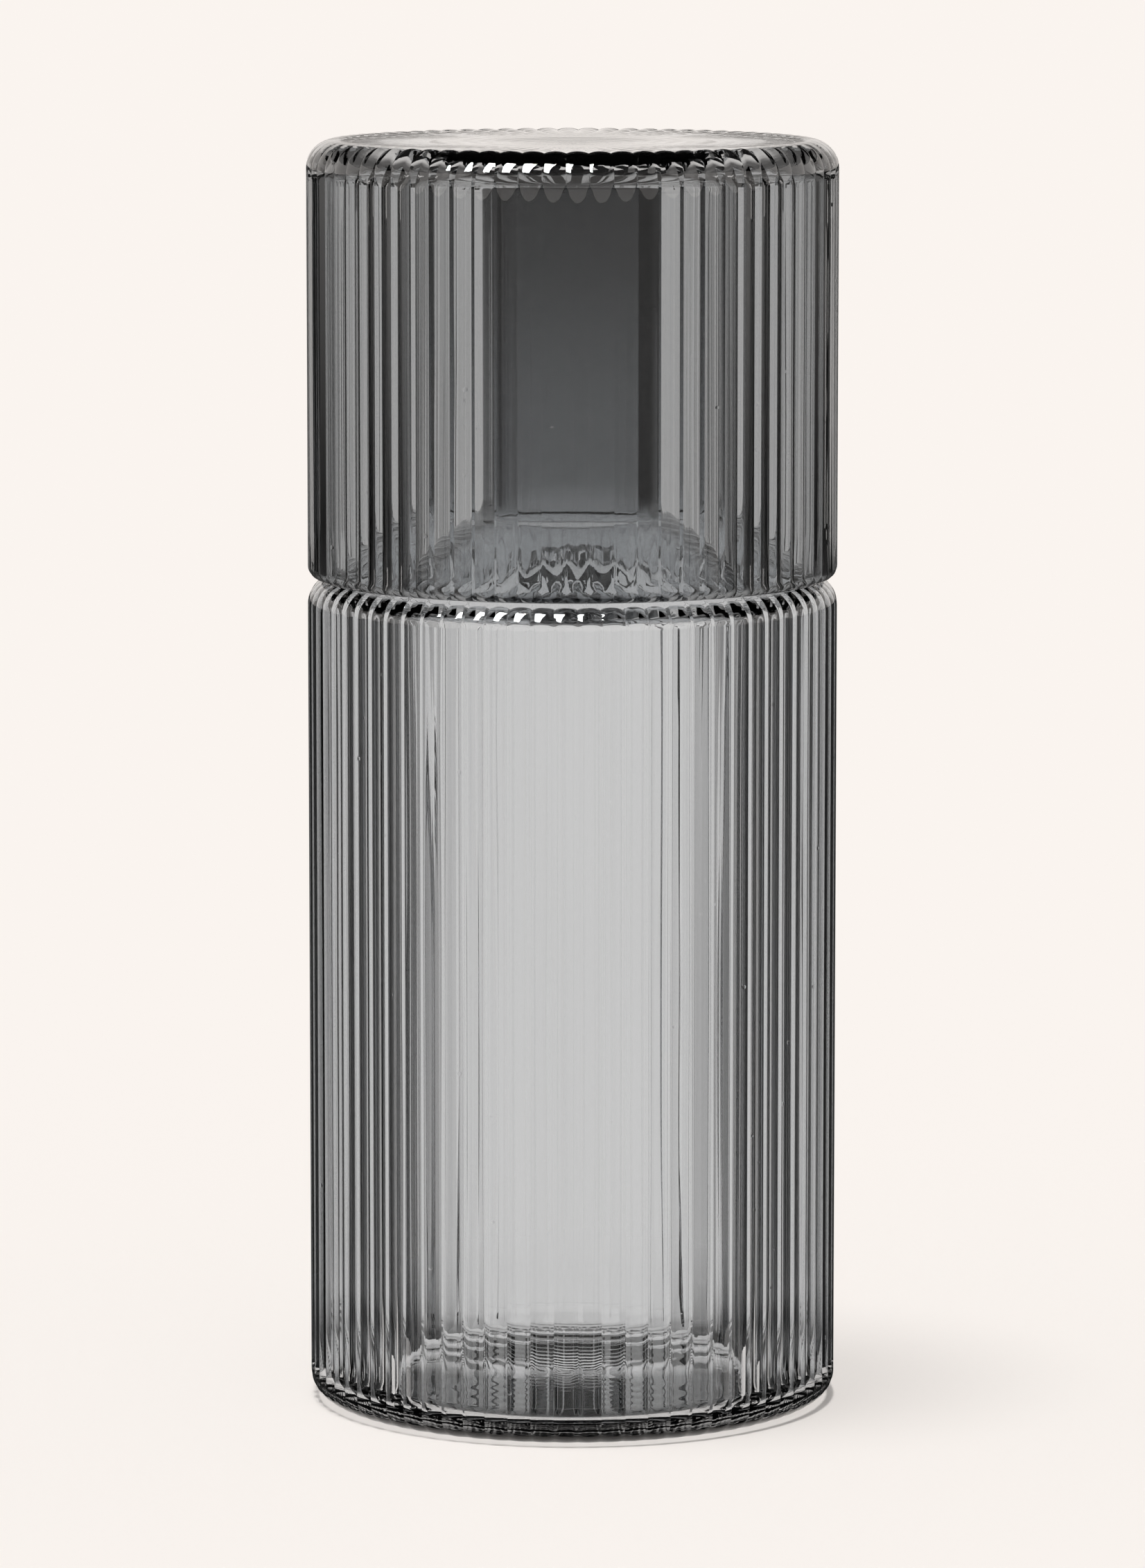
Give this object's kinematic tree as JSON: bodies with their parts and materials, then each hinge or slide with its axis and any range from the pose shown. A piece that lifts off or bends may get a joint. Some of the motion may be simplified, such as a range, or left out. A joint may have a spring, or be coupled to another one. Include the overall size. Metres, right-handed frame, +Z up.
{
  "type": "bedside carafe with tumbler",
  "caption": "Straight-sided ribbed glass carafe with a narrow neck, and a matching ribbed tumbler that stands upside down over the neck as its lid.",
  "frame": {"origin": "centre of the carafe's base, on the surface that it stands on", "axes": "+Z up along the axis that carafe, neck and tumbler share"},
  "size_m": [0.085, 0.085, 0.2033],
  "materials": {
    "carafe_glass": "clear smoked grey glass, glossy, ribbed outside",
    "tumbler_glass": "clear smoked grey glass, a little darker, glossy, ribbed outside"
  },
  "bodies": {
    "carafe": {"carafe": "carafe_glass"},
    "tumbler": {"tumbler": "tumbler_glass"}
  },
  "joints": [
    {"name": "tumbler_lift", "type": "slide", "parent": "carafe", "child": "tumbler", "axis": [0, 0, 1], "range_m": [0, 0.08]}
  ]
}
